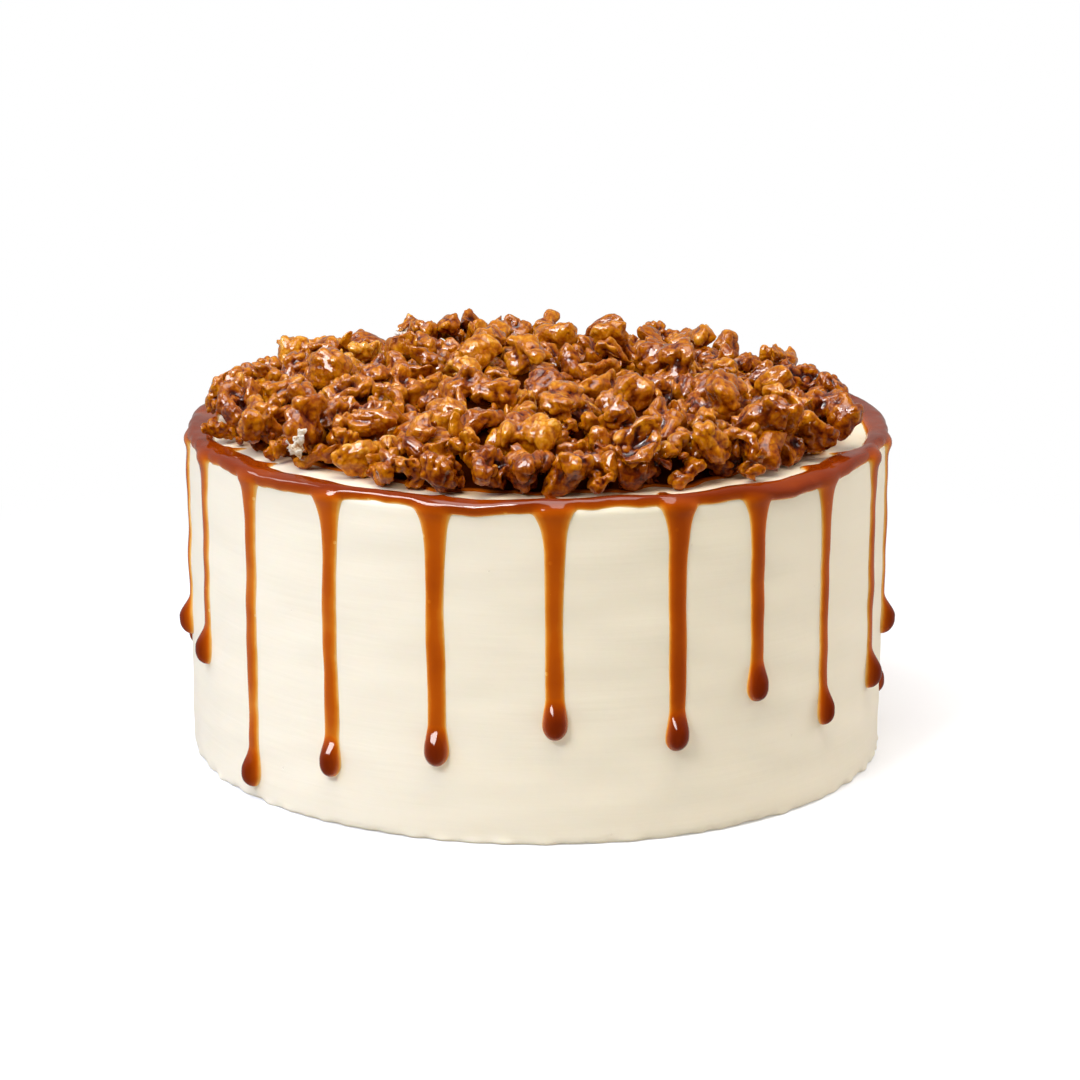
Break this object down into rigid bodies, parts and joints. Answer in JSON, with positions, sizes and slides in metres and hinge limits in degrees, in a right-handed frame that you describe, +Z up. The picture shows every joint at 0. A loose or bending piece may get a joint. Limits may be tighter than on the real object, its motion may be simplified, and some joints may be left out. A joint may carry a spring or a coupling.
{
  "type": "pumpkin cake",
  "caption": "Whole round layer cake in smooth ivory frosting, with a caramel drip round its top edge and a heap of candied walnut pieces on top.",
  "frame": {"origin": "centre of the cake's round foot, on the surface that it stands on", "axes": "+Z up through the cake; -Y towards the side that the picture shows; +X to that side's right"},
  "size_m": [0.2103, 0.2117, 0.1177],
  "materials": {
    "ivory_frosting": "smooth scraped cream frosting, softly matt, with faint scraper streaks",
    "caramel": "glossy clear caramel, amber where thin and red brown where thick",
    "caramel_walnut": "roasted walnut pieces under a glossy caramel coat"
  },
  "bodies": {
    "root": {"frosted_cake": "ivory_frosting", "walnut_topping": "caramel_walnut"}
  },
  "joints": []
}
